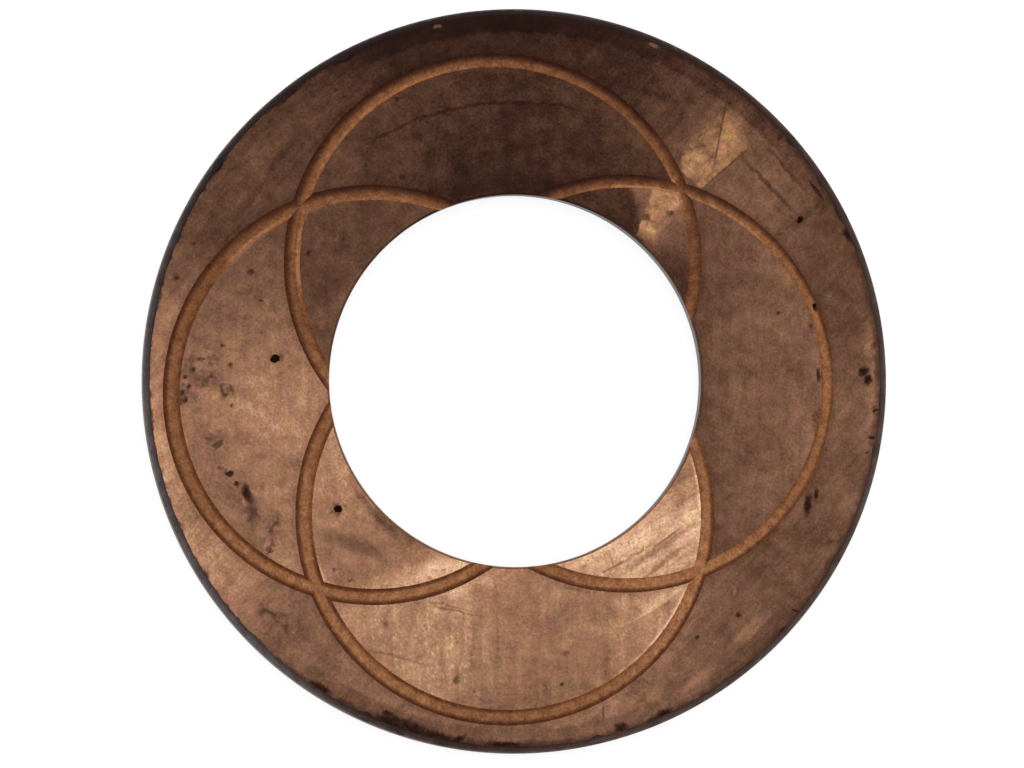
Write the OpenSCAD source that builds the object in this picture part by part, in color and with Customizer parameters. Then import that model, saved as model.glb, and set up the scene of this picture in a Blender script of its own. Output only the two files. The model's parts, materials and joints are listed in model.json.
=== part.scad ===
// Bronze thrust washer: one turned ring with a set of overlapping circular oil grooves in its upper face.
// Millimetres. The origin is the middle of the back face, the axis is Z and the grooved face looks up.

/* [Ring] */
// Outside diameter
outer_d = 120; // [110:0.5:180]
// Diameter of the bore
bore_d = 60; // [44:0.5:80]
// Thickness from the back face to the grooved face
thickness = 6; // [3:0.25:15]

/* [Edges] */
// Chamfer round the outside of the grooved face
outer_break = 1.0; // [0.2:0.1:1.5]
// Chamfer round the outside of the back face
back_break = 0.6; // [0.2:0.1:1.2]
// Chamfer at both ends of the bore
bore_break = 0.3; // [0.2:0.1:1]

/* [Oil grooves] */
// Number of groove circles
groove_count = 4; // [3:1:6]
// Diameter of each groove circle along the middle of its floor
groove_ring_d = 65.2; // [56:0.2:72]
// Face left between the outermost groove and the rim when the set is central
rim_land = 5.8; // [4.5:0.1:10]
// Nose radius of the tool that cuts the grooves
groove_nose_r = 1.7; // [1.4:0.05:2.5]
// Depth of the grooves level with the middle of the set
groove_depth = 0.5; // [0.4:0.05:1.2]

/* [Groove setting error] */
// How far the set of grooves sits off the axis, to the right
set_off_x = -2.5; // [-3:0.1:3]
// How far the set of grooves sits off the axis, upwards
set_off_y = -1.3; // [-3:0.1:3]
// Turn of the set of grooves about its own middle
set_turn = 2.7; // [-45:0.1:45]
// Lean of the set against the face, which leaves the grooves deeper and wider on one side
set_lean = 0.22; // [0:0.02:0.3]
// Direction of the deeper side, counted anticlockwise from the right
lean_bearing = 200; // [0:5:355]

/* [Hidden] */
$fn = 180;
bronze = "peru";
// Half the width of a groove where it meets the face, level with the middle of the set
groove_half_w = sqrt(pow(groove_nose_r, 2) - pow(groove_nose_r - groove_depth, 2));
// Distance of each groove circle's centre from the middle of the set
groove_pitch_r = outer_d / 2 - rim_land - groove_half_w - groove_ring_d / 2;

// Half section of the ring, with the radius along X and the height along Y.
module ring_section() {
    bore_r = bore_d / 2;
    outer_r = outer_d / 2;
    polygon([
        [bore_r + bore_break, 0],
        [outer_r - back_break, 0],
        [outer_r, back_break],
        [outer_r, thickness - outer_break],
        [outer_r - outer_break, thickness],
        [bore_r + bore_break, thickness],
        [bore_r, thickness - bore_break],
        [bore_r, bore_break]
    ]);
}

// Path of the round-nosed tool as it turns one full circle about its own centre, with the face at zero.
module groove_cut() {
    rotate_extrude()
        translate([groove_ring_d / 2, groove_nose_r - groove_depth])
            circle(r = groove_nose_r);
}

// The whole set of groove circles, spaced evenly about the middle of the set.
module groove_set() {
    translate([set_off_x, set_off_y, thickness])
        rotate([0, set_lean, lean_bearing])
            for (i = [0 : groove_count - 1])
                rotate([0, 0, set_turn - lean_bearing + i * 360 / groove_count])
                    translate([groove_pitch_r, 0, 0])
                        groove_cut();
}

module thrust_washer() {
    color(bronze)
        difference() {
            rotate_extrude() ring_section();
            groove_set();
        }
}

thrust_washer();
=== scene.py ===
# %% [markdown]
# # A used bronze thrust washer
# A thrust washer is a flat bearing ring: it sits on a pin, between a part that turns and the housing, and
# takes the end load. This one is bronze, worn and stained, with four round oil grooves that cross each
# other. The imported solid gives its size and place. Here the same ring is modelled again with worn edges,
# and painted.

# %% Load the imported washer
import json
import math

import bmesh
import bpy
from mathutils import Color, Matrix, Vector, noise


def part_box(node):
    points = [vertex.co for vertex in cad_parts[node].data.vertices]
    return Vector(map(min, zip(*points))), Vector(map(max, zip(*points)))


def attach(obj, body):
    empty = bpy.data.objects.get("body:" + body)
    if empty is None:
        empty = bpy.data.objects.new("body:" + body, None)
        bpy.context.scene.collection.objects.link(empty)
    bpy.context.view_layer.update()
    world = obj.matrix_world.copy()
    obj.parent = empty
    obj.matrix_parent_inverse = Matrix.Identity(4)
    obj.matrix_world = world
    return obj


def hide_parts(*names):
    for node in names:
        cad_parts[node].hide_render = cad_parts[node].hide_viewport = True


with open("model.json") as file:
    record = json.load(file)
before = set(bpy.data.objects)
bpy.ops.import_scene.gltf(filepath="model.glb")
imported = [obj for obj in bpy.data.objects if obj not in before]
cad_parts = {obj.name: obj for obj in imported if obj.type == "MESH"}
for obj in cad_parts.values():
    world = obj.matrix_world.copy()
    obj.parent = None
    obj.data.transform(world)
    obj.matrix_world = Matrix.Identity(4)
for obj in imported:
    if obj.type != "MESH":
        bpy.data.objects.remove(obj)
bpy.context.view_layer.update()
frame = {"record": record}

MM = 0.001
NODE = "thrust_washer"
low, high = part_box(NODE)
bore_mount = next(m for m in frame["record"]["mounts"] if m["name"] == "bore")
outer_r = round((high.x - low.x) / 2, 4)
bore_r = bore_mount["dims"]["r_mm"] * MM
face_z = high.z
bore_break = (face_z - bore_mount["dims"]["length_mm"] * MM) / 2
print("washer radius", outer_r, "bore radius", bore_r, "thickness", face_z)

# %% [markdown]
# ## The finishes
# The grooves cut the sliding face into nine lands: the ring outside them, one land inside each groove, and
# four corners where two grooves overlap. Each wore by itself and has its own finish, as have the grooves,
# the rim, the bore, the back and the pits. Part of what sets the lands apart is a painted reflection:
# darker lands at the top, brighter ones at the bottom. They are named now, so that the modelling steps can
# say which one a face takes, and painted later.

# %% Name the finishes
RIGHT, TOP, LEFT, BOTTOM = range(4)
LANDS = {  # the grooves that go round a land, and its name
    (): "outer_ring",
    (RIGHT,): "right_land",
    (TOP,): "top_land",
    (LEFT,): "left_land",
    (BOTTOM,): "bottom_land",
    (RIGHT, TOP): "upper_right_corner",
    (TOP, LEFT): "upper_left_corner",
    (LEFT, BOTTOM): "lower_left_corner",
    (RIGHT, BOTTOM): "lower_right_corner",
}
FINISHES = list(LANDS.values()) + ["oil_groove", "turned_rim", "bore_wall", "plain_back", "dirt_pit"]
FACE = FINISHES.index("outer_ring")
GROOVE, RIM, BORE, BACK, PIT = range(len(LANDS), len(FINISHES))
finish = [bpy.data.materials.new(name) for name in FINISHES]
print(len(finish), "finishes")


def new_piece(name, bm, materials=finish):
    """Makes a bmesh an object at the origin."""
    mesh = bpy.data.meshes.new(name)
    bm.to_mesh(mesh)
    bm.free()
    for material in materials:
        mesh.materials.append(material)
    piece = bpy.data.objects.new(name, mesh)
    bpy.context.scene.collection.objects.link(piece)
    return piece


# %% [markdown]
# ## The blank ring
# The real blank was turned on a lathe. A cylinder with a hole would do, but it is made the way it was
# turned: half of its section is drawn, the corners are rounded a little, and the outline is spun once
# round the axis. That gives even faces all round, and both chamfers at once.

# %% Turn the blank
OUTER_BREAK = 1.0 * MM
BACK_BREAK = 0.6 * MM
CORNER_WEAR = 0.12 * MM
FLAT = 0.95  # the least upward part of the normal on a flat face
RING_STEPS = 960
SEAM = 0.0005 * MM


def wire_loop(bm, points):
    """A closed outline in the XZ plane, from (radius, height) pairs."""
    corners = [bm.verts.new((r, 0, z)) for r, z in points]
    for a, b in zip(corners, corners[1:] + corners[:1]):
        bm.edges.new((a, b))
    return corners


def revolve(bm, steps):
    """Spins an outline one full turn about the upright axis."""
    outline = bm.verts[:] + bm.edges[:]
    bmesh.ops.spin(
        bm, geom=outline, cent=(0, 0, 0), axis=(0, 0, 1), angle=math.tau, steps=steps, use_merge=True)
    bmesh.ops.remove_doubles(bm, verts=bm.verts, dist=SEAM)
    bmesh.ops.recalc_face_normals(bm, faces=bm.faces)


def finish_of(face):
    """Which finish a face of the blank takes."""
    radius = face.calc_center_median().xy.length
    if radius < bore_r + 0.9 * bore_break and face.normal.z < FLAT:
        return BORE
    if face.normal.z < -0.5:
        return BACK
    return FACE if face.normal.z > FLAT else RIM


blank = bmesh.new()
section = wire_loop(blank, [
    (bore_r + bore_break, 0),
    (outer_r - BACK_BREAK, 0),
    (outer_r, BACK_BREAK),
    (outer_r, face_z - OUTER_BREAK),
    (outer_r - OUTER_BREAK, face_z),
    (bore_r + bore_break, face_z),
    (bore_r, face_z - bore_break),
    (bore_r, bore_break),
])
bmesh.ops.bevel(
    blank, geom=section, offset=CORNER_WEAR, segments=3, profile=0.5, affect="VERTICES", material=-1)
revolve(blank, RING_STEPS)
for face in blank.faces:
    face.material_index = finish_of(face)
print("blank", len(blank.faces), "faces")

# %% [markdown]
# ## The worn rim
# The chamfer round the face is uneven: dirt and knocks have eaten into it. A bump map would leave the
# outline perfect, so the points themselves are moved. Smooth noise that runs round the ring shifts the
# chamfer's inner edge, and a few knocks push it in and down.

# %% Wear the rim
RIM_REACH = 1.7 * MM
RAGGED = 0.14 * MM
KNOCKS = [
    (12, 0.3), (27, 0.5), (33, 0.4), (41, 0.5), (66, 0.3), (118, 0.3), (157, 0.3), (246, 0.5),
    (252, 0.5), (258, 0.4), (283, 0.4), (292, 0.4), (305, 0.3), (331, 0.3), (349, 0.3),
]
KNOCK_HALF_WIDTH = 1.6
KNOCK_DEPTH = 0.35 * MM


def toward(bearing):
    """The direction of a bearing in degrees, counted anticlockwise from the right."""
    return Vector((math.cos(math.radians(bearing)), math.sin(math.radians(bearing)), 0))


def ragged(bearing):
    """How far the chamfer eats into the face at a bearing."""
    broad = noise.noise(toward(bearing) * 9)
    fine = noise.noise(toward(bearing) * 34)
    return RAGGED * (0.6 * broad + 0.7 * fine)


def knock(bearing):
    """How hard the nearest knock is at a bearing."""
    nearest = 0.0
    for place, strength in KNOCKS:
        gap = min(1.0, abs((bearing - place + 180) % 360 - 180) / KNOCK_HALF_WIDTH)
        nearest = max(nearest, strength * (1 + math.cos(math.pi * gap)) / 2)
    return nearest


for vert in blank.verts:
    radius = vert.co.xy.length
    inward = (outer_r - radius) / OUTER_BREAK
    if vert.co.z < face_z - 1.2 * OUTER_BREAK or radius < outer_r - RIM_REACH:
        continue
    bearing = math.degrees(math.atan2(vert.co.y, vert.co.x))
    hit = knock(bearing)
    shift = (ragged(bearing) + OUTER_BREAK * hit) * min(1.0, inward)
    vert.co.xy *= (radius - shift) / radius
    if 0.05 < inward < 0.95:
        vert.co.z -= KNOCK_DEPTH * hit
washer = new_piece("worn_washer", blank)
print(len(KNOCKS), "knocks on the rim")

# %% [markdown]
# ## The oil grooves
# A round-nosed tool was swung about four centres. The set was clamped off centre, so the left groove
# nearly reaches the rim, and it leaned, so the grooves are deeper and wider on the left. A torus has one
# depth all round. So the nose is spun about each centre, and each point is then sunk as deep as the lean
# puts it.

# %% Place the grooves
GROOVE_COUNT = 4
GROOVE_RING_R = 32.6 * MM
GROOVE_PITCH_R = 20.4 * MM
SET_CENTRE = Vector((-2.5, -1.3, 0)) * MM
SET_TURN = 2.7
GROOVE_STEPS = 300
GROOVE_DEPTH = 0.5 * MM
NOSE_R = 1.7 * MM
NOSE_STEPS = 14
LIP_WEAR = 0.05 * MM
SET_LEAN = math.tan(math.radians(0.22))
LEAN_BEARING = 200
DEEPER_SIDE = toward(LEAN_BEARING)


def groove_centre(index):
    """Centre of one groove circle on the washer's face."""
    return SET_CENTRE + GROOVE_PITCH_R * toward(SET_TURN + index * 360 / GROOVE_COUNT)


def depth_at(place):
    """Depth of a groove at a point, which the lean of the set changes."""
    return GROOVE_DEPTH + SET_LEAN * (place - SET_CENTRE).dot(DEEPER_SIDE)


def groove_section(depth):
    """The tool's nose at one depth, opened at the lips: offsets and heights from the face."""
    reach = math.acos((NOSE_R - depth + LIP_WEAR) / NOSE_R)
    swings = [reach * (2 * i / NOSE_STEPS - 1) for i in range(NOSE_STEPS + 1)]
    nose = [(NOSE_R * math.sin(a), NOSE_R * (1 - math.cos(a)) - depth) for a in swings]
    lip = nose[-1][0] + 2 * LIP_WEAR
    return [(-lip, LIP_WEAR)] + nose + [(lip, LIP_WEAR)]


def groove_cutter(index):
    """The tool's nose spun about one centre, then sunk."""
    bm = bmesh.new()
    station = bm.verts.layers.int.new("station")
    for i, corner in enumerate(wire_loop(bm, groove_section(GROOVE_DEPTH))):
        corner[station] = i
    bmesh.ops.translate(bm, verts=bm.verts, vec=(GROOVE_RING_R, 0, 0))
    revolve(bm, GROOVE_STEPS)
    foot = groove_centre(index) + Vector((0, 0, face_z))
    for vert in bm.verts:
        out = Vector((vert.co.x, vert.co.y, 0)).normalized()
        x, z = groove_section(depth_at(foot + GROOVE_RING_R * out))[vert[station]]
        vert.co = foot + (GROOVE_RING_R + x) * out + Vector((0, 0, z))
    for face in bm.faces:
        face.material_index = GROOVE
    return new_piece(f"groove_cutter_{index}", bm)


cutters = [groove_cutter(i) for i in range(GROOVE_COUNT)]
print("groove centres", [tuple(round(c / MM, 2) for c in groove_centre(i).xy) for i in range(GROOVE_COUNT)])

# %% [markdown]
# ## The pits
# A few small pits show on the face, filled with dark dirt. Paint alone would stay flat when the light
# changes, so each is cut: a squashed ball with an uneven skin, half sunk in the face.

# %% Place the pits
PITS = [  # x, y, half length, half width, turn: millimetres on the face, and degrees
    (-38.7, 3.5, 0.85, 0.62, 20),
    (-28.6, -20.7, 0.66, 0.62, 0),
    (46.0, 26.1, 0.62, 0.45, 60),
    (48.3, 12.2, 0.5, 0.35, 70),
]
PIT_DEPTH = 0.35 * MM
PIT_SINK = 0.013 * MM  # so that no corner of the ball lies in the plane of the face


def pit_cutter(index, x, y, half_long, half_wide, turn):
    """A squashed, uneven ball to take out of the face."""
    bm = bmesh.new()
    bmesh.ops.create_icosphere(bm, subdivisions=3, radius=1)
    for vert in bm.verts:
        vert.co *= 1 + 0.3 * noise.noise(vert.co * 1.7 + Vector((7 * index, 0, 0)))
        vert.co = (vert.co.x * half_long * MM, vert.co.y * half_wide * MM, vert.co.z * PIT_DEPTH)
    bmesh.ops.rotate(bm, verts=bm.verts, cent=(0, 0, 0), matrix=Matrix.Rotation(math.radians(turn), 3, "Z"))
    bmesh.ops.translate(bm, verts=bm.verts, vec=(x * MM, y * MM, face_z - PIT_SINK))
    for face in bm.faces:
        face.material_index = PIT
    return new_piece(f"pit_cutter_{index}", bm)


cutters += [pit_cutter(i, *pit) for i, pit in enumerate(PITS)]
print(len(PITS), "pits")


# %% [markdown]
# ## Cutting
# The tools are cut out of the blank with Booleans. The exact solver copes with tools that cross each
# other, and the faces it makes keep the tool's finish. The result is kept as a plain mesh.

# %% Cut the grooves and pits
def cut_away(piece, tools):
    """Cuts each tool out of the piece for good, and removes the tools."""
    for tool in tools:
        cut = piece.modifiers.new("cut", "BOOLEAN")
        cut.operation = "DIFFERENCE"
        cut.solver = "EXACT"
        cut.object = tool
    shaped = piece.evaluated_get(bpy.context.evaluated_depsgraph_get())
    mesh = bpy.data.meshes.new_from_object(shaped)
    piece.modifiers.clear()
    piece.data = mesh
    for tool in tools:
        bpy.data.objects.remove(tool)


cut_away(washer, cutters)
print("cut washer", len(washer.data.polygons), "faces")


# %% [markdown]
# ## Sorting the lands
# The cut leaves the sliding face in pieces. A land is known by the grooves that go round it, and a point
# is inside a groove when it is nearer to its centre than the groove's radius.

# %% Give each land its finish
def land_of(place):
    """The grooves that go round a point of the face."""
    return tuple(i for i in range(GROOVE_COUNT) if (place - groove_centre(i)).xy.length < GROOVE_RING_R)


for polygon in washer.data.polygons:
    if polygon.material_index == FACE:
        polygon.material_index = list(LANDS).index(land_of(polygon.center))
print("land faces", sum(polygon.material_index < len(LANDS) for polygon in washer.data.polygons))


# %% [markdown]
# ## Shading
# Smooth shading averages the normals across an edge, and would bend the light over a whole flat face. So
# the border of each flat face is marked sharp. Then the piece is tied to the frame: it rides on the one
# body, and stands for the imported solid.

# %% Shade the washer
SHARP_ANGLE = 30


def sharpen_borders(piece, flat):
    """Marks the edges of flat finishes as sharp."""
    bm = bmesh.new()
    bm.from_mesh(piece.data)
    for edge in bm.edges:
        kinds = {face.material_index for face in edge.link_faces}
        if len(kinds) > 1 and kinds & flat:
            edge.smooth = False
    bm.to_mesh(piece.data)
    bm.free()


washer.data.shade_smooth()
washer.data.set_sharp_from_angle(angle=math.radians(SHARP_ANGLE))
sharpen_borders(washer, {*range(len(LANDS)), BACK})
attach(washer, "root")
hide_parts(NODE)
print("sharp edges", sum(edge.use_edge_sharp for edge in washer.data.edges))


# %% [markdown]
# ## How the finishes are painted
# Old bronze has one hue in many strengths, from bare metal to black oil. So each finish works out one
# number, the level, for every point, and a colour ramp turns it into bronze. A level is the red part of
# the wanted screen colour, 0 to 255, divided by 255. Places are in millimetres from the middle of the
# washer.

# %% A brush that mixes levels
class Brush:
    """Adds nodes to a tree. Most methods return what comes out of the last node they made."""

    def __init__(self, tree):
        self.tree = tree

    def fill(self, made, inputs):
        """Links or sets the inputs of a node."""
        for name, value in inputs.items():
            if isinstance(value, bpy.types.NodeSocket):
                self.tree.links.new(value, made.inputs[name])
            else:
                made.inputs[name].default_value = value
        return made

    def add(self, kind, inputs=None, **settings):
        made = self.tree.nodes.new("ShaderNode" + kind)
        for name, value in settings.items():
            setattr(made, name, value)
        return self.fill(made, inputs or {})

    def node(self, kind, inputs=None, out=0, **settings):
        return self.add(kind, inputs, **settings).outputs[out]

    def calc(self, operation, *values):
        return self.node("Math", dict(enumerate(values)), operation=operation)

    def vector(self, operation, inputs, out=0):
        return self.node("VectorMath", inputs, out, operation=operation)

    def fade(self, value, start, end):
        """0 at the start, 1 at the end, and smooth between; the start may be above the end."""
        inputs = {"Value": value, "From Min": start, "From Max": end}
        return self.node("MapRange", inputs, interpolation_type="SMOOTHSTEP")

    def mix(self, share, under, over):
        """One number laid over another."""
        return self.node("Mix", {0: share, 2: under, 3: over}, data_type="FLOAT")

    def mix_tone(self, share, under, over, blend="MIX"):
        """One colour laid over another."""
        return self.node("Mix", {0: share, 6: under, 7: over}, 2, data_type="RGBA", blend_type=blend)

    def scale(self, level, by):
        return self.calc("MULTIPLY", level, by)

    def vary(self, level, pattern, share):
        """Makes a level stronger and weaker with a pattern that runs from -1 to 1."""
        return self.scale(level, self.calc("MULTIPLY_ADD", pattern, share, 1.0))

    def together(self, parts):
        """The sum of some patterns, each with its own share."""
        total = 0.0
        for share, pattern in parts:
            total = self.calc("MULTIPLY_ADD", pattern, share, total)
        return total


# %% [markdown]
# ## Places and noise
# A mark has to know where it is: seen from a point, by its radius, or by its bearing. Noise breaks it up.
# Noise that lies square to the face shows its own grid, like a weave, so here it is cut at a slant.

# %% A brush that knows its place
NOISE_TURN = (37, 23, 41)
METALLIC = 0.8  # below 1, because oil and oxide lie on the metal
SPECULAR = 0.25


class PlacedBrush(Brush):
    """Paints one finish: finds places on the washer, and makes noise there."""

    def __init__(self, material):
        material.use_nodes = True
        super().__init__(material.node_tree)
        self.shader = self.tree.nodes["Principled BSDF"]
        self.fill(self.shader, {"Metallic": METALLIC, "Specular IOR Level": SPECULAR})
        metres = self.node("TexCoord", out="Object")
        self.place = self.vector("SCALE", {0: metres, "Scale": 1 / MM})
        turned = {"Vector": self.place, "Rotation": [math.radians(angle) for angle in NOISE_TURN]}
        self.oblique = self.node("Mapping", turned)

    def frame(self, at, x=0, y=0, turn=0, size=(1, 1, 1)):
        """Places seen from a point, turned, and measured in units of a size."""
        inputs = {"Vector": at, "Location": (x, y, 0), "Scale": size}
        inputs["Rotation"] = (0, 0, math.radians(turn))
        return self.node("Mapping", inputs, vector_type="TEXTURE")

    def cloud(self, size, at=None, detail=3.0, roughness=0.6):
        """Noise from about -1 to 1, with features of a size in millimetres."""
        inputs = {"Vector": at or self.oblique, "Scale": 1 / size, "Detail": detail, "Roughness": roughness}
        grain = self.node("TexNoise", inputs)
        limits = {"Value": grain, "From Min": 0.25, "From Max": 0.75, "To Min": -1.0, "To Max": 1.0}
        return self.node("MapRange", limits)

    def stray(self, size, reach):
        """Places that wander from the true ones, for ragged borders."""
        inputs = {"Vector": self.place, "Scale": 1 / size, "Detail": 3.0}
        drift = self.node("TexNoise", inputs, 1)
        middle = self.vector("SUBTRACT", {0: drift, 1: (0.5, 0.5, 0.5)})
        moved = self.vector("SCALE", {0: middle, "Scale": 4 * reach})
        return self.vector("ADD", {0: self.place, 1: moved})

    def axis(self, name, at=None):
        return self.node("SeparateXYZ", {0: at or self.place}, name)

    def radius(self, at=None):
        flat = self.vector("MULTIPLY", {0: at or self.place, 1: (1, 1, 0)})
        return self.vector("LENGTH", {0: flat}, "Value")

    def bearing(self, at=None):
        """Degrees from 0 to 360, counted anticlockwise from the right."""
        turned = self.calc("ARCTAN2", self.axis("Y", at), self.axis("X", at))
        return self.calc("FLOORED_MODULO", self.calc("DEGREES", turned), 360.0)

    def rings(self, stretch):
        """Places by radius and bearing, where noise runs round the washer."""
        turned = self.scale(self.bearing(), stretch)
        return self.node("CombineXYZ", {0: self.radius(), 1: turned})


# %% [markdown]
# ## Marks
# With places and noise, the marks can be made: levels that follow a measured value, the colour of a
# level, ellipses, patches with straight sides, arcs, and the place across a groove.

# %% A painter that makes marks
class Painter(PlacedBrush):
    """Makes the marks of a finish, and hands the result to its shader."""

    def levels(self, value, stops):
        """A level that follows a value: stops are pairs of value and level, from low to high."""
        start, end = stops[0][0], stops[-1][0]
        limits = {"Value": value, "From Min": start, "From Max": end}
        made = self.add("FloatCurve", {"Value": self.node("MapRange", limits)})
        points = made.mapping.curves[0].points
        while len(points) < len(stops):
            points.new(0.5, 0.5)
        for point, (at, level) in zip(points, stops):
            point.location = ((at - start) / (end - start), level / 255)
            point.handle_type = "AUTO_CLAMPED"
        made.mapping.update()
        return made.outputs[0]

    def tones(self, level, stops):
        """The colour of a level: stops are screen colours from dark to bright."""
        made = self.add("ValToRGB", {0: level})
        elements = made.color_ramp.elements
        while len(elements) < len(stops):
            elements.new(0.5)
        for element, rgb in zip(elements, stops):
            element.position = rgb[0] / 255
            element.color = tone(rgb)
        return made.outputs[0]

    def spots(self, places, edge, at):
        """A mask of ellipses: places are x, y, half length, half width and turn."""
        nearest = None
        for x, y, half_long, half_wide, turn in places:
            local = self.frame(at, x, y, turn, (half_long, half_wide, 1000))
            reach = self.vector("LENGTH", {0: local}, "Value")
            nearest = self.calc("MINIMUM", nearest, reach) if nearest else reach
        return self.fade(nearest, 1 + edge, 1 - edge)

    def cover(self, level, spots, share, over, edge, at):
        """Lays one level over another where there are spots."""
        if not spots:
            return level
        return self.mix(self.scale(self.spots(spots, edge, at), share), level, over / 255)

    def patch(self, sides, at):
        """A mask inside straight sides: each is a point, the bearing it faces and its border's width."""
        depth = None
        for x, y, facing, border in sides:
            inward = -toward(facing) / border
            along = self.vector("DOT_PRODUCT", {0: at, 1: inward}, "Value")
            gap = self.calc("SUBTRACT", along, inward.dot(Vector((x, y, 0))))
            depth = self.calc("MINIMUM", depth, gap) if depth else gap
        return self.fade(depth, -0.5, 0.5)

    def arc(self, radius, start, end, half_wide, at):
        """A mask of a thin arc about the middle of the washer."""
        off = self.calc("ABSOLUTE", self.calc("SUBTRACT", self.radius(at), radius))
        turned = self.bearing(at)
        ends = self.scale(self.fade(turned, start, start + 5), self.fade(turned, end, end - 5))
        return self.scale(self.fade(off, half_wide, 0.3 * half_wide), ends)

    def across_groove(self, at=None):
        """Place across the nearest groove: -1 at its inner lip, 0 in the middle, 1 at the outer lip."""
        nearest = None
        for index in range(GROOVE_COUNT):
            x, y, _ = groove_centre(index) / MM
            gap = self.calc("SUBTRACT", self.radius(self.frame(at or self.place, x, y)), GROOVE_RING_R / MM)
            if nearest is None:
                nearest = gap
                continue
            closer = self.calc("LESS_THAN", self.calc("ABSOLUTE", gap), self.calc("ABSOLUTE", nearest))
            nearest = self.mix(closer, nearest, gap)
        leaned = self.vector("DOT_PRODUCT", {0: self.place, 1: SET_LEAN * DEEPER_SIDE}, "Value")
        depth = self.calc("ADD", leaned, depth_at(Vector((0, 0, 0))) / MM)
        squared = self.scale(depth, self.calc("SUBTRACT", 2 * NOSE_R / MM, depth))
        return self.calc("DIVIDE", nearest, self.calc("SQRT", squared))

    def bump(self, height, depth_mm):
        inputs = {"Height": height, "Distance": depth_mm * MM, "Strength": 1.0}
        self.fill(self.shader, {"Normal": self.node("Bump", inputs)})

    def use(self, colour, pattern, roughness, spread=0.08):
        """Hands the shader its colour, and a roughness that a pattern makes uneven."""
        uneven = self.calc("MULTIPLY_ADD", pattern, spread, roughness)
        self.fill(self.shader, {"Base Color": colour, "Roughness": uneven})


def tone(rgb):
    """A screen colour, 0 to 255, as the linear colour that a shader takes."""
    return (*Color([part / 255 for part in rgb]).from_srgb_to_scene_linear(), 1.0)


# %% [markdown]
# ## The sliding face: broad tones
# Outside the grooves the tone runs round the ring: black at the top, bare at the left, brown at the right.
# The black top is partly oil and partly a painted reflection, and the bright left and bottom are partly
# painted light. The last few millimetres before the rim have a tone of their own. Inside the grooves, each
# land gets a run of levels along one axis, and a slope along the other, with the same painted reflection:
# darker lands at the top, brighter ones at the bottom.

# %% Name the broad tones
BRONZE = [
    (14, 6, 4), (38, 18, 11), (60, 35, 24), (95, 64, 48), (120, 85, 66), (165, 119, 91),
    (210, 163, 130), (245, 206, 172),
]
# Partly a painted reflection: darkest at the top, brightest at the left and bottom.
RING_LEVELS = [
    (0, 117), (20, 93), (32, 108), (45, 114), (60, 84), (72, 60), (106, 52), (122, 77), (135, 89),
    (152, 87), (163, 127), (175, 148), (190, 156), (211, 159), (230, 124), (252, 134), (268, 134),
    (288, 143), (301, 114), (316, 116), (327, 103), (345, 112), (360, 117),
]
RIM_BAND_LEVELS = [
    (0, 121), (22, 92), (45, 84), (62, 62), (75, 42), (92, 30), (110, 36), (124, 72), (140, 86),
    (156, 98), (166, 130), (176, 154), (205, 173), (217, 158), (230, 120), (254, 112), (272, 122),
    (295, 120), (318, 101), (338, 114), (360, 121),
]
RIM_BAND_R = 56.2
# Partly a painted reflection too: the top land is darkest, the bottom land and its corners are brightest.
LAND_LEVELS = {  # axis, pairs of place and level along it, and the middle and slope along the other axis
    (RIGHT,): ("X", [(26, 93), (33, 106), (40, 116), (52, 123)], 0, 0.0),
    (TOP,): ("X", [(-36, 104), (-24, 84), (-14, 71), (0, 62), (12, 64), (26, 80)], 40, 0.8),
    (LEFT,): ("Y", [(-30, 151), (-18, 149), (-6, 163), (3, 153), (10, 132), (16, 115), (24, 97)], -43, 0.9),
    (BOTTOM,): (
        "X", [(-28, 150), (-20, 162), (-14, 170), (-6, 156), (3, 148), (12, 152), (20, 166), (28, 178)],
        -40, 1.2),
    (RIGHT, TOP): ("X", [(10, 50), (19, 62), (20.5, 104), (30, 108)], 24, 2.5),
    (TOP, LEFT): ("Y", [(4, 104), (12, 99), (18, 92), (30, 94)], 0, 0.0),
    (LEFT, BOTTOM): ("Y", [(-35, 152), (-28, 145), (-22, 156), (-16, 170), (-10, 180)], 0, 0.0),
    (RIGHT, BOTTOM): ("Y", [(-36, 194), (-24, 207), (-19, 183), (-15, 158), (-10, 136)], 0, 0.0),
}


def ring_level(face, wavy, frayed):
    """The level outside the grooves."""
    bearing = face.bearing(wavy)
    band = face.fade(face.radius(frayed), RIM_BAND_R - 0.4, RIM_BAND_R + 0.4)
    return face.mix(band, face.levels(bearing, RING_LEVELS), face.levels(bearing, RIM_BAND_LEVELS))


def land_level(face, wavy, along, stops, middle, slope):
    """The level inside the grooves."""
    across = face.calc("SUBTRACT", face.axis("Y" if along == "X" else "X"), middle)
    return face.calc("ADD", face.levels(face.axis(along, wavy), stops), face.scale(across, slope / 255))


# %% [markdown]
# ## The sliding face: patches
# Some marks have a place of their own: a scraped, straw-coloured patch with straight sides, bright corners
# that are worn and partly a painted highlight, streaks, and worn lips with a painted highlight. Most are
# ellipses with frayed edges, each list with one strength. The lists give x, y, half length and half width
# in millimetres, and a turn in degrees.

# %% List the patches
STRAW_SIDES = {  # x, y, the bearing a side faces and the width of its border
    (): [(26.9, 35, 168, 0.9), (28.5, 38.7, 142, 1.4), (32.7, 42, 122, 2.6), (36.7, 40, 8, 2.6),
         (33.4, 33.9, -50, 0.9), (28.2, 32.7, 232, 0.5)],
    (RIGHT, TOP): [(20.6, 26.4, 162, 0.5), (25.6, 27.2, -36, 1.6), (21.5, 23, 240, 2.0)],
}
STRAW_LEVELS = {(): 166, (RIGHT, TOP): 168}
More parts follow.
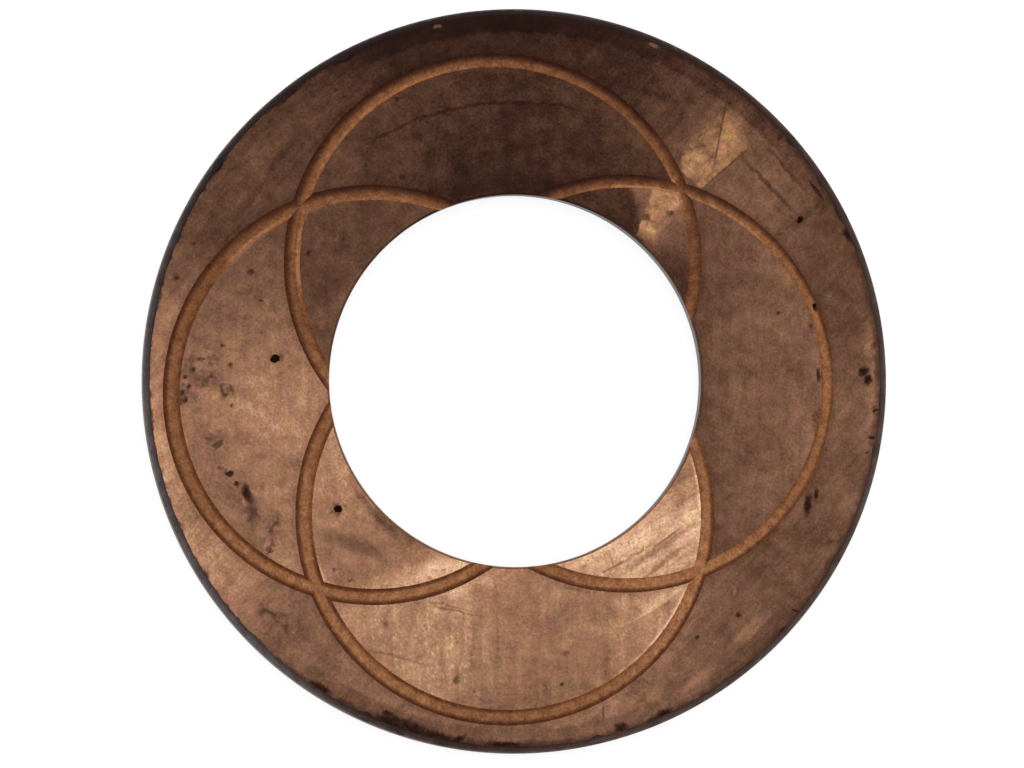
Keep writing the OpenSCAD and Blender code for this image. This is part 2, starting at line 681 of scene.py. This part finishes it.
# Worn corners, made bright partly as a painted highlight.
BRIGHT_CORNERS = [(-12.5, -31.5, 8.5, 3.2, 18)]
DULL_CORNERS = [
    (-19, -21.8, 4.2, 2.6, -50), (25, 17.5, 5, 2.4, -55), (2, 31.2, 12, 1.8, 0), (-9, 30.4, 6, 1.4, 17),
]
PALE_STREAKS = [(29.6, -48, 3.6, 0.7, 34), (57.4, 1.4, 0.9, 8, 0), (38.4, -39.5, 5, 0.8, 40)]
DARK_STREAKS = [(41, 31.6, 5.6, 0.4, -46), (44, 34.1, 4.2, 0.4, -50), (20.5, 46.9, 4.5, 0.6, -20)]
BROWN_STREAKS = [
    (-38, 36, 4.6, 0.6, 52), (-42.6, 29.2, 3.8, 0.5, 53), (-45.2, 34.2, 2.2, 0.4, 32),
    (-26, -26.4, 4.6, 1.2, -20), (22, -27.6, 6.2, 0.6, 34), (24.2, -29, 4, 0.4, 38),
    (19, -28.2, 4.4, 0.3, 34), (-22.5, -21.5, 4.5, 0.6, -48), (9, -33.3, 2.4, 0.5, -15),
    (-10.2, -37, 4.2, 0.2, -12), (-12, -36, 3.4, 0.2, -13), (-19.2, -44.5, 4.6, 0.22, -14),
]
# Where the painted glints go.
SPARKLE = [(-14, -41, 10, 6.5, -30), (17, -28, 10, 4, 25), (-13, -31.5, 7, 2.5, 18)]
# Worn inner lips that get a painted highlight.
WORN_LIP_HIGHLIGHTS = [
    (22.5, -41, 9, 4, 51), (-43.2, 21.3, 4.5, 2, 39), (-33, 27.2, 1.8, 1.4, 40),
    (-30.9, -31.3, 2, 1.5, 0), (29, -16.5, 1, 4, 5),
]
ARCS = {  # radius, first and last bearing, half width, and how much brighter it is
    (TOP,): (44.9, 74, 123, 0.4, -0.25),
    (RIGHT,): (36, 337, 359, 0.4, 0.1),
}
EDGE_LEVELS = [
    (0, 76), (20, 68), (45, 56), (75, 46), (105, 36), (135, 42), (165, 62), (190, 78), (225, 82),
    (243, 66), (257, 58), (285, 74), (315, 77), (335, 78), (348, 80), (360, 76),
]

# %% [markdown]
# ## The sliding face: small marks
# Stains are soft, dirt and specks are crisp, scratches are thin, and a few flecks are bare. Only the
# larger ones have a place here, and noise makes the rest. A shader has room for a few dozen, so each land
# carries only its own.

# %% List the stains, specks and scratches
STAINS = [
    (-38.7, 3.5, 1.2, 0.95, 20), (-28.6, -20.7, 0.95, 0.9, 0), (46, 26.1, 0.95, 0.75, 60),
    (48.9, -5.6, 0.5, 2.0, 2), (-52.7, 3.4, 0.9, 0.6, 0), (-52.9, 1.5, 0.9, 0.7, 0),
    (-49, 3.4, 0.8, 0.5, 0), (-49.2, 0.8, 0.5, 0.5, 0), (-50.2, -0.7, 1.0, 0.5, 0),
    (-53.6, -2.6, 1.2, 1.4, -30), (-46.9, -1.6, 0.45, 1.1, 0), (-45.9, -1.5, 0.5, 0.7, 0),
    (-57, 3.7, 0.35, 0.55, 0), (-49.3, -9.2, 0.8, 0.6, 20), (-47.8, -10.2, 0.9, 0.4, 40),
    (-42.4, -21.5, 0.8, 1.7, 0), (-47.4, -14.3, 0.7, 0.4, -30), (-39.2, -37.6, 1.9, 0.5, -15),
    (-36.9, -40, 1.6, 0.6, -45), (-23.6, 32.9, 1.4, 0.9, 0), (-25, 28.6, 0.6, 0.8, 0),
    (-21.3, -38.9, 0.6, 1.1, 0), (-38.7, -23.3, 0.3, 1.4, -20), (-39.5, -27.2, 0.3, 1.3, -15),
    (51, -26, 1.4, 0.35, 12), (8.1, -43.8, 0.8, 0.5, 0), (-9.4, -48.3, 0.4, 1.0, -35),
]
STAIN_CLOUDS = [
    (-50.8, 0.5, 3.8, 6.5, 8), (-44, -19, 3.2, 3.8, 20), (-47.5, -9, 3, 3, 0), (-41, -24, 3, 4, 0),
]
BLACK_DIRT = [
    (-43.3, -18.3, 0.75, 1.5, 20), (-44.9, -16.7, 0.45, 0.4, 0), (-46.1, -15, 0.5, 0.4, 0),
    (-20.6, -53.6, 0.9, 0.5, -10), (-19.9, -55, 2.7, 1.1, -18), (-17, -55.9, 2.6, 1.1, -18),
    (-13, -57.2, 2.4, 0.7, -12), (-9.4, -57.9, 1.4, 0.5, 25), (-1.7, -58.6, 3.0, 0.4, -2),
    (-31.5, -49.4, 1.8, 0.6, -32), (-42.6, -41.4, 0.9, 0.6, -35), (24, -53.6, 1.2, 0.6, 25),
    (17.1, -55.8, 0.9, 0.7, 15), (47.3, -19.8, 0.6, 1.6, -8), (48.6, -18.2, 0.35, 0.9, 0),
    (52.4, 27.4, 0.5, 1.4, 25), (53.6, 23.7, 0.5, 1.0, 20), (48.6, 30.9, 1.6, 0.3, -55),
    (-36.6, 45.8, 2.4, 0.35, 40), (-27, 52, 2.2, 0.35, 28), (-47.6, 34.4, 1.8, 0.25, 54),
    (45.3, -37, 0.9, 0.14, -12), (43.3, -40.2, 0.9, 0.4, 42), (47.9, -35, 1.0, 0.4, 48),
    (49, 1, 0.3, 1.0, 0), (56.3, 1.6, 0.9, 0.7, 40), (57, 0.3, 0.7, 0.9, 0), (58.2, -4.7, 0.4, 0.3, 20),
    (57.5, -9, 0.6, 0.25, -10),
]
SPECK_SIZES = [
    (-53.9, -2, 0.5), (-53.2, -3.2, 0.42), (-54.1, -3.9, 0.3), (-52.6, -1, 0.36), (-53.4, 0.5, 0.36),
    (-51.9, 1.7, 0.4), (-50.4, 3.4, 0.36), (-46.8, -2.4, 0.34), (-45.7, -4.1, 0.32), (-19.2, 45.4, 0.4),
    (-9.1, 34.3, 0.4), (-18.3, 32.8, 0.5), (-27.7, 22.7, 0.35), (-33.4, 20.5, 0.5), (-51.9, 22, 0.3),
    (-54.6, 16.5, 0.5), (-42.8, 17.5, 0.5), (-41, 12.9, 0.3), (-47.2, 5.5, 0.35), (-46, 2.4, 0.45),
    (-51, 3.4, 0.4), (42.9, 39.3, 0.5), (42.5, 11, 0.35), (47.8, 9, 0.3), (36.1, -37.6, 0.45),
    (29.4, -41.3, 0.4), (7.5, -48.9, 0.35), (-9.5, -48.3, 0.5), (-6.6, -50, 0.3), (21.2, 26.5, 0.6),
    (25.1, 27.1, 0.5), (-29.2, -30.5, 0.4), (-26.6, -32.3, 0.25), (57.9, -4.1, 0.3), (56.9, -11.4, 0.3),
]
SPECKS = [(x, y, size, 0.8 * size, 40) for x, y, size in SPECK_SIZES]
SCRATCHES = [
    (33.2, 40.5, 6.9, 0.16, 79), (34.5, 34.8, 5, 0.16, 41), (14.6, -30.6, 3.4, 0.14, 28),
    (24.6, -25.2, 2.4, 0.14, 36), (14.2, -53.4, 0.15, 1.2, 0),
]
FLECKS = [
    (35.5, -33.8, 0.2, 0.6, -10), (7.5, -32.8, 0.4, 0.25, 20), (15.9, -35, 0.5, 0.35, 45),
    (-12.6, 57.1, 0.7, 0.25, 15), (22.4, 54.2, 0.9, 0.3, -22),
]


def on_land(grooves, spots):
    """The spots of a list that touch a land."""
    touching = []
    for spot in spots:
        x, y, half_long, half_wide, turn = spot
        arms = Matrix.Rotation(math.radians(turn), 3, "Z") @ Matrix.Diagonal((half_long, half_wide, 0))
        tips = [Vector((x, y, 0)) + arms @ Vector((i, j, 0)) for i in (-1, 0, 1) for j in (-1, 0, 1)]
        if any(land_of(tip * MM) == grooves for tip in tips):
            touching.append(spot)
    return touching


# %% [markdown]
# ## Laying the patches
# The broad patches go on first. Each is a soft mask that mixes in another level, the way a scrape or a
# stain covers what is below it.

# %% Lay the patches
def lay_patches(face, grooves, level, wavy, frayed):
    """The patches and streaks of a land, over its broad level."""
    layers = [  # spots, how much they cover, their level, and how soft and how ragged their edges are
        # The bright corners are worn, and partly a painted highlight.
        (BRIGHT_CORNERS, 0.9, 218, 0.5, wavy),
        (DULL_CORNERS, 0.4, 38, 0.6, wavy),
        (PALE_STREAKS, 0.4, 165, 0.5, frayed),
        (DARK_STREAKS, 0.6, 52, 0.6, frayed),
        (BROWN_STREAKS, 0.36, 52, 0.7, frayed),
    ]
    for spots, *layer in layers:
        level = face.cover(level, on_land(grooves, spots), *layer)
    return level


# %% [markdown]
# ## Grain
# The face has mottling, fine grain, faint turning marks and streaks rubbed in one direction. Each is
# noise of another size. They are added up and laid on as one pattern, so that no size stands out.

# %% Add the grain
STREAKS = {  # direction, width in millimetres and strength of the rubbed streaks
    (): (48, 1.0, 0.08),
    (TOP,): (90, 2.4, 0.07),
    (BOTTOM,): (90, 1.7, 0.1),
    (RIGHT, BOTTOM): (30, 1.2, 0.1),
}


def add_grain(face, grooves, level):
    """All the grain as one pattern, strongest in dark places."""
    along_ring = face.rings(0.06)
    turn, width, share = STREAKS.get(grooves, (90, 1.5, 0.06))
    rubbed = face.frame(face.place, turn=turn, size=(9 * width, width, 1))
    pattern = face.together([
        (0.08, face.cloud(9, detail=2)),
        (0.15, face.cloud(2.6, detail=4)),
        (0.17, face.cloud(0.4, roughness=0.7)),
        (0.03, face.cloud(0.55, at=along_ring, detail=2)),
        (share, face.cloud(1, at=rubbed, detail=2)),
    ])
    strength = face.calc("MULTIPLY_ADD", face.fade(level, 0.45, 0.2), 0.6, 1.0)
    return face.vary(level, pattern, strength)


# %% [markdown]
# ## Dirt
# Dirt lies on top. Noise pushes its edges about, a lot for old stains and a little for specks, and its
# strength is patchy, because it was rubbed off in places.

# %% Lay the dirt
def lay_dirt(face, grooves, level, wavy, frayed, crumbly):
    """Stains, dirt, specks, scratches and bare flecks of a land."""
    patchy = face.fade(face.cloud(1.1, detail=4), -0.5, 0.5)
    smudgy = face.stray(1.3, 0.7)

    def rubbed(least, more):
        return face.calc("MULTIPLY_ADD", patchy, more, least)

    clouds = on_land(grooves, STAIN_CLOUDS)
    if clouds:
        haze = face.fade(face.cloud(3.0), -0.6, 0.8)
        level = face.cover(level, clouds, face.scale(haze, 0.45), 82, 0.7, wavy)
        blots = face.fade(face.cloud(1.3, roughness=0.5), 0.0, 0.9)
        level = face.cover(level, clouds, face.scale(blots, 0.45), 70, 0.5, frayed)
    layers = [
        (STAINS, rubbed(0.3, 0.45), 62, 0.9, smudgy),
        (BLACK_DIRT, rubbed(0.65, 0.3), 26, 0.6, crumbly),
        (SPECKS, rubbed(0.45, 0.35), 40, 0.7, crumbly),
        (SCRATCHES, 0.5, 55, 0.7, face.place),
        (FLECKS, 0.5, 165, 0.5, crumbly),
    ]
    for spots, *layer in layers:
        level = face.cover(level, on_land(grooves, spots), *layer)
    return level


# %% [markdown]
# ## Edges: painted shade, highlights and a dark border
# Where a land meets a groove, the face beside the outer lip gets a little painted shade, and some worn
# inner lips get a painted highlight.
# By the rim the outer ring darkens, in a broad soft border, but a narrow one at the left, where the rim
# is bare.

# %% Paint the edges of a land: painted shade, highlights and wear
BORDER_START = 57.8
BORDER_START_LEFT = 58.7
BORDER_END = 59.2


def shade_and_wear_edges(face, grooves, level, frayed):
    """Painted shade outside each groove, painted highlights on some worn inner lips, and the dark border by
    the rim.
    """
    across = face.across_groove()
    # Painted shade: the face just outside each groove's outer lip is darkened.
    outer_lip_shade = face.scale(face.fade(across, 1.9, 1.1), face.calc("GREATER_THAN", across, 0.0))
    level = face.vary(level, outer_lip_shade, -0.08)
    lips = on_land(grooves, WORN_LIP_HIGHLIGHTS)
    if lips:
        # Painted highlight along some worn inner lips.
        worn_lip_highlight = face.scale(face.fade(across, -1.5, -1.1), face.spots(lips, 0.5, frayed))
        level = face.vary(level, worn_lip_highlight, 0.26)
    if not grooves:
        uneven_r = face.calc("MULTIPLY_ADD", face.cloud(1.8, detail=4), 0.4, face.radius(frayed))
        start = face.mix(face.fade(face.axis("X"), -20, -45), BORDER_START, BORDER_START_LEFT)
        border = face.scale(face.fade(uneven_r, start, BORDER_END), 0.85)
        level = face.mix(border, level, face.scale(face.levels(face.bearing(), EDGE_LEVELS), 0.92))
    return level


# %% [markdown]
# ## Colour
# The ramp gives the hue of bronze, and two noises turn it a little redder and greener, as oxide does. The
# straw patches are yellower. The worn corners and the bottom land get painted glints: short bright
# highlights in upright columns, with dark pores.

# %% Colour a land
TINTS = [  # size and reach of the noise, and the two tints that it turns between
    (0.45, 1.0, (0.9, 1.06, 0.99, 1), (1.1, 0.94, 0.99, 1)),
    (2.8, 0.8, (0.99, 1.03, 0.93, 1), (1.01, 0.975, 1.07, 1)),
]


def colour_land(face, grooves, level, straw, wavy):
    """The colour of a level, redder and greener by turns, with straw and painted glints over it."""
    colour = face.tones(level, BRONZE)
    for size, reach, greener, redder in TINTS:
        turn = face.fade(face.cloud(size), -reach, reach)
        colour = face.mix_tone(1.0, colour, face.mix_tone(turn, greener, redder), "MULTIPLY")
    if straw:
        colour = face.mix_tone(straw, colour, (1.0, 0.985, 0.8, 1), "MULTIPLY")
    # Painted highlights: a pale sheen in upright columns, bright glints on it, and dark pores.
    glint_spots = on_land(grooves, SPARKLE)
    if glint_spots:
        upright = face.frame(face.place, size=(1.8, 14, 1))
        columns = face.fade(face.cloud(1, at=upright, detail=1), -0.3, 0.4)
        glint_area = face.spots(glint_spots, 0.7, wavy)
        columns = face.scale(face.calc("MULTIPLY_ADD", columns, 0.75, 0.25), glint_area)
        colour = face.mix_tone(face.scale(columns, 0.26), colour, tone((228, 184, 142)))
        brushed = face.frame(face.place, turn=8, size=(0.6, 1.15, 1))
        glint_grains = face.fade(face.cloud(1, at=brushed, roughness=0.7), 0.05, 0.75)
        pinker = face.fade(face.cloud(0.9), -0.4, 0.4)
        glint = face.mix_tone(pinker, tone((248, 212, 140)), tone((244, 180, 156)))
        colour = face.mix_tone(face.scale(face.scale(glint_grains, columns), 0.8), colour, glint)
        pores = face.scale(face.fade(face.cloud(0.6, roughness=0.75), 0.1, 0.8), glint_area)
        colour = face.mix_tone(face.scale(pores, 0.7), colour, tone((122, 86, 58)))
    return colour


# %% [markdown]
# ## Painting the lands
# Now the steps come together, in the order in which the real face got its marks: the broad tone, which is
# partly a painted reflection, patches, grain, the edges with their painted shade, highlights and wear,
# dirt. The level becomes a colour at the end, and a faint bump roughens the gloss.

# %% Paint each land
def paint_land(slot, grooves):
    """Paints one land, and counts the nodes it took."""
    face = Painter(finish[slot])
    wavy = face.stray(11, 1.6)
    frayed = face.stray(1.6, 0.35)
    crumbly = face.stray(0.8, 0.22)
    if grooves:
        level = land_level(face, wavy, *LAND_LEVELS[grooves])
    else:
        level = ring_level(face, wavy, frayed)
    level = lay_patches(face, grooves, level, wavy, frayed)
    straw = None
    if grooves in STRAW_SIDES:
        mottle = face.fade(face.cloud(1.7, detail=5), -1.0, 0.35)
        straw = face.scale(face.patch(STRAW_SIDES[grooves], frayed), mottle)
        level = face.mix(straw, level, STRAW_LEVELS[grooves] / 255)
    if grooves in ARCS:
        *arc, brighter = ARCS[grooves]
        level = face.vary(level, face.arc(*arc, frayed), brighter)
    level = add_grain(face, grooves, level)
    level = shade_and_wear_edges(face, grooves, level, frayed)
    level = lay_dirt(face, grooves, level, wavy, frayed, crumbly)
    colour = colour_land(face, grooves, level, straw, wavy)
    face.use(colour, face.cloud(1.5), 0.46)
    face.bump(face.cloud(0.6), 0.008)
    return len(face.tree.nodes)


for slot, (grooves, name) in enumerate(LANDS.items()):
    print(name, paint_land(slot, grooves), "nodes")

# %% [markdown]
# ## The skin of the grooves
# Nothing rubs in the grooves, so they kept a coarse, sandy skin and a more orange colour. The level follows
# the place across the groove, from the inner wall over the floor to the outer wall, and the bearing. The
# walls carry painted light and shade: the outer wall is dark all round, partly dirt and partly painted
# shade, and darkest and widest in the upper half, while the inner wall is painted lit in the upper half,
# with a few painted highlights. Near both walls the colour turns a little darker and more orange.

# %% Paint the grooves
GROOVE_TONES = [
    (14, 7, 5), (58, 30, 19), (90, 52, 33), (115, 72, 46), (140, 93, 59), (165, 113, 74),
    (195, 141, 97),
]
FLOOR_LEVELS = [
    (0, 164), (14, 156), (34, 150), (55, 132), (67, 126), (79, 130), (98, 138), (117, 140), (137, 142),
    (157, 134), (169, 136), (178, 150), (196, 152), (217, 164), (246, 168), (264, 152), (282, 156),
    (300, 170), (310, 174), (330, 160), (345, 154), (360, 164),
]
FLOOR_DULLING = 0.97
# Painted light: the inner wall is bright in the upper half, with painted highlights near 55 and 152
# degrees, and darker at the lower left.
INNER_WALL_LEVELS = [
    (0, 146), (24, 150), (34, 180), (44, 180), (55, 200), (64, 170), (72, 150), (89, 144), (108, 172),
    (127, 172), (140, 158), (152, 196), (160, 150), (169, 130), (187, 128), (213, 112), (232, 106),
    (252, 118), (264, 116), (282, 136), (300, 160), (310, 172), (330, 150), (345, 136), (360, 146),
]
# Painted shade and dirt: the outer wall is darkest at the top.
OUTER_WALL_LEVELS = [
    (0, 122), (14, 98), (34, 88), (55, 66), (79, 60), (108, 64), (137, 76), (157, 90), (178, 98),
    (207, 112), (225, 104), (246, 102), (264, 96), (291, 102), (310, 100), (330, 114), (345, 122),
    (360, 122),
]
DULL_INNER_WALL = [(20, 41, 10, 3.6, -50)]
LIGHTER_OUTER_WALL = [(25.5, 35, 6, 3, -62)]
LIGHTER_INNER_WALL = [(-33.5, -18, 2.5, 9, 0), (-25.5, -43.5, 7, 2.5, -48)]
FAINT_STRETCH = [(29.4, 18.5, 3.2, 9.5, 4)]
GROOVE_DIRT = [(48.4, 12.0, 0.3, 0.6, 20), (49.3, 0.9, 0.3, 0.9, 0)]

groove = Painter(finish[GROOVE])
uneven = groove.stray(1.8, 0.12)
across = groove.across_groove(uneven)
around = groove.bearing(groove.stray(8, 1.5))
inner = groove.cover(groove.levels(around, INNER_WALL_LEVELS), DULL_INNER_WALL, 0.8, 134, 0.4, uneven)
inner = groove.cover(inner, LIGHTER_INNER_WALL, 0.85, 148, 0.4, uneven)
outer = groove.cover(groove.levels(around, OUTER_WALL_LEVELS), LIGHTER_OUTER_WALL, 0.8, 94, 0.4, uneven)
groove_floor = groove.scale(groove.levels(around, FLOOR_LEVELS), FLOOR_DULLING)
level = groove.mix(groove.fade(across, -0.35, -0.8), groove_floor, inner)
# Painted shade: in the upper half the dark outer wall reaches further in.
upper_wall_shade = groove.fade(groove.axis("Y"), 5, 30)
level = groove.mix(groove.fade(across, groove.mix(upper_wall_shade, 0.2, -0.4), 0.8), level, outer)
level = groove.cover(level, FAINT_STRETCH, 0.7, 112, 0.35, uneven)
level = groove.cover(level, GROOVE_DIRT, 0.85, 34, 0.5, uneven)
sand = groove.cloud(0.4, roughness=0.7)
level = groove.vary(level, groove.together([(0.16, groove.cloud(1.3, detail=4)), (0.2, sand)]), 1.0)
colour = groove.tones(level, GROOVE_TONES)
# Both walls get a little darker and more orange, partly as painted shade.
edges = groove.fade(groove.calc("ABSOLUTE", across), 0.5, 0.85)
colour = groove.mix_tone(edges, colour, (1.0, 0.9, 0.76, 1), "MULTIPLY")
pinkish = groove.fade(groove.cloud(2.2), -0.6, 0.8)
colour = groove.mix_tone(pinkish, colour, (1.0, 0.97, 1.1, 1), "MULTIPLY")
groove.use(colour, sand, 0.6)
groove.bump(sand, 0.045)
print("oil_groove", len(groove.tree.nodes), "nodes")

# %% [markdown]
# ## The rim
# The chamfer is dark, darkest at the top and along its inner edge, brown at the right and a bare grey at
# the left, and gets lighter towards the turned outer wall, which is a dull grey-brown. All of it is one
# finish, split by radius and bearing.

# %% Paint the rim
CHAMFER_TONES = [(12, 7, 7), (45, 29, 25), (80, 60, 55), (110, 90, 84)]
BARE_CHAMFER_TONES = [(12, 8, 8), (45, 34, 34), (80, 69, 70), (110, 101, 103)]
WALL_TONES = [(10, 8, 7), (60, 49, 44), (96, 85, 80), (130, 119, 112)]
rim = Painter(finish[RIM])
grimy = rim.cloud(2.5, detail=4)
rim_grain = rim.cloud(0.5)
grime = rim.together([(0.2, grimy), (0.14, rim_grain)])
chamfer = rim.vary(rim.levels(rim.bearing(rim.stray(6, 1.5)), EDGE_LEVELS), grime, 1.0)
chamfer = rim.vary(chamfer, rim.fade(rim.radius(), 59.4, 58.9), -0.28)
wall = rim.vary(rim.levels(rim.axis("Z"), [(0, 78), (3, 94), (5, 90)]), grime, 1.0)
outside = rim.fade(rim.radius(rim.stray(1.5, 0.1)), 59.6, 59.95)
bare_side = rim.fade(rim.axis("X"), -15, -40)
brighter = rim.scale(rim.fade(rim.radius(), 59.3, 60.0), rim.mix(bare_side, 0.06, 0.25))
chamfer = rim.vary(chamfer, brighter, 1.0)
brown = rim.tones(chamfer, CHAMFER_TONES)
chamfer_colour = rim.mix_tone(bare_side, brown, rim.tones(chamfer, BARE_CHAMFER_TONES))
colour = rim.mix_tone(outside, chamfer_colour, rim.tones(wall, WALL_TONES))
rim.use(colour, rim_grain, 0.55)
rim.bump(rim_grain, 0.02)
print("turned_rim", len(rim.tree.nodes), "nodes")

# %% [markdown]
# ## Bore, back and pits
# The bore is a neutral grey, scored round by the pin, with a lip in the colour of the face. The back
# can't be seen in the photograph, so it is plain: an even, faced surface with faint tool marks. The pits
# are dark with crumbs of dirt.

# %% Paint the bore, the back and the pits
BORE_TONES = [(12, 10, 10), (70, 63, 62), (98, 92, 93), (126, 119, 118)]
# Like the face, the lip is darkest at the top and brightest at the bottom, partly as a painted reflection.
BORE_LIP_LEVELS = [
    (0, 92), (45, 82), (75, 44), (105, 38), (135, 86), (165, 94), (195, 130), (225, 138), (255, 146),
    (285, 134), (315, 144), (345, 98), (360, 92),
]
bore = Painter(finish[BORE])
scored = bore.cloud(1.0, at=bore.frame(bore.place, size=(6, 6, 0.5)))
level = bore.vary(bore.levels(bore.axis("Z"), [(0, 68), (5.4, 78), (6, 62)]), scored, 0.12)
level = bore.vary(level, bore.cloud(4), 0.12)
lip = bore.vary(bore.levels(bore.bearing(), BORE_LIP_LEVELS), bore.cloud(0.8), 0.12)
at_lip = bore.fade(bore.axis("Z"), 5.6, 5.75)
colour = bore.mix_tone(at_lip, bore.tones(level, BORE_TONES), bore.tones(lip, BRONZE))
bore.use(colour, scored, 0.45)
bore.bump(scored, 0.01)

back = Painter(finish[BACK])
tool_marks = back.cloud(0.5, at=back.rings(0.01), detail=2)
level = back.levels(back.radius(), [(30, 128), (34, 140), (55, 144), (60, 120)])
level = back.vary(level, back.cloud(10, detail=4), 0.10)
level = back.vary(level, tool_marks, 0.06)
level = back.vary(level, back.cloud(0.6), 0.05)
back.use(back.tones(level, BRONZE), tool_marks, 0.42, 0.06)
back.bump(tool_marks, 0.01)

pit = Painter(finish[PIT])
crumbs = pit.cloud(0.3)
level = pit.vary(pit.levels(pit.axis("Z"), [(5.6, 36), (6, 58)]), crumbs, 0.25)
pit.use(pit.tones(level, BRONZE), crumbs, 0.8, 0.1)
pit.bump(crumbs, 0.05)
print("back", len(back.tree.nodes), "nodes, bore", len(bore.tree.nodes), "nodes")

# %% [markdown]
# ## White paper
# The washer lies on white paper. The paper glows just enough to look white to the camera and in
# reflections, and still takes the washer's shadow.

# %% Colour the paper
PAPER = 0.55
PAPER_GLOW = 0.74


def glow(brush, as_light, as_seen):
    """One strength for the light that is shed, and another for the camera and reflections."""
    rays = brush.add("LightPath").outputs
    seen = brush.calc("MAXIMUM", rays["Is Camera Ray"], rays["Is Glossy Ray"])
    seen = brush.calc("MAXIMUM", seen, rays["Is Transmission Ray"])
    return brush.mix(seen, as_light, as_seen)


paper = bpy.data.materials.new("white_paper")
paper.use_nodes = True
brush = Brush(paper.node_tree)
brush.fill(paper.node_tree.nodes["Principled BSDF"], {
    "Base Color": (PAPER, PAPER, PAPER, 1),
    "Roughness": 1.0,
    "Specular IOR Level": 0.0,
    "Emission Color": (1, 1, 1, 1),
    "Emission Strength": glow(brush, 0.0, PAPER_GLOW),
})
print("paper", PAPER, "and its glow", PAPER_GLOW)

# %% [markdown]
# ## The floor
# The floor is a wide ring of this paper and a disc below the bore. Under the washer it is cut out, where
# nothing shows from above, so that the plain back can also be looked at from below.

# %% Lay the paper
PAPER_R = 6
CUT_OUT = (32 * MM, 58 * MM)
PAPER_GAP = 0.02 * MM
floor_bm = bmesh.new()
bmesh.ops.create_circle(floor_bm, segments=96, radius=CUT_OUT[1])
spread = bmesh.ops.extrude_edge_only(floor_bm, edges=floor_bm.edges[:])["geom"]
far = [part for part in spread if isinstance(part, bmesh.types.BMVert)]
bmesh.ops.scale(floor_bm, vec=(PAPER_R / CUT_OUT[1], PAPER_R / CUT_OUT[1], 1), verts=far)
bmesh.ops.create_circle(floor_bm, cap_ends=True, segments=96, radius=CUT_OUT[0])
bmesh.ops.translate(floor_bm, verts=floor_bm.verts, vec=(0, 0, -PAPER_GAP))
floor_bm.normal_update()
bmesh.ops.reverse_faces(floor_bm, faces=[face for face in floor_bm.faces if face.normal.z < 0])
floor = new_piece("floor", floor_bm, [paper])
print("floor", len(floor.data.polygons), "faces")

# %% [markdown]
# ## Light
# The light is even, from a white room, with one large soft lamp towards the top of the picture. Together
# they are at a level at which a colour looks as it was written.

# %% Light the scene
ROOM_LIGHT = 0.68
LAMP_WATTS = 0.7
LAMP_SIZE = 0.6
LAMP_PLACE = Vector((0.03, 0.34, 0.8))
world = bpy.data.worlds.new("white_room")
world.use_nodes = True
bpy.context.scene.world = world
brush = Brush(world.node_tree)
daylight = {"Color": (1, 1, 1, 1), "Strength": glow(brush, ROOM_LIGHT, 1.0)}
brush.fill(world.node_tree.nodes["Background"], daylight)
key = bpy.data.lights.new("key", "AREA")
key.energy = LAMP_WATTS
key.size = LAMP_SIZE
lamp = bpy.data.objects.new("key", key)
lamp.location = LAMP_PLACE
lamp.rotation_euler = (-LAMP_PLACE).to_track_quat("-Z", "Y").to_euler()
bpy.context.scene.collection.objects.link(lamp)
print("room", ROOM_LIGHT, "lamp", LAMP_WATTS, "watts")

# %% [markdown]
# ## Camera
# The camera stands almost straight above, far away with a long lens, and leans a few degrees to the lower
# left, so that a thread of the outer wall and of the bore shows. Its aim puts the face where the
# photograph has it.

# %% Place the camera
FRAME_PX = Vector((1024, 768))
CENTRE_PX = Vector((515.3, 380.8))
RADIUS_PX = 372.5
LENS = 800
TILT = 4.2
TILT_BEARING = 207
px = outer_r / RADIUS_PX
camera = bpy.data.cameras.new("camera")
camera.lens = LENS
camera.clip_end = 20
distance = px * FRAME_PX.x * LENS / camera.sensor_width
aim = Vector(((FRAME_PX.x / 2 - CENTRE_PX.x) * px, (CENTRE_PX.y - FRAME_PX.y / 2) * px, face_z))
tilt, swing = math.radians(TILT), math.radians(TILT_BEARING)
away = Vector((math.sin(tilt) * math.cos(swing), math.sin(tilt) * math.sin(swing), math.cos(tilt)))
side = Vector((0, 1, 0)).cross(away).normalized()
up = away.cross(side)
eye = bpy.data.objects.new("camera", camera)
turned = Matrix((side, up, away)).transposed().to_4x4()
eye.matrix_world = Matrix.Translation(aim + distance * away) @ turned
bpy.context.scene.collection.objects.link(eye)
bpy.context.scene.camera = eye
bpy.context.scene.view_settings.view_transform = "Standard"
print("camera", round(distance, 3), "metres away")
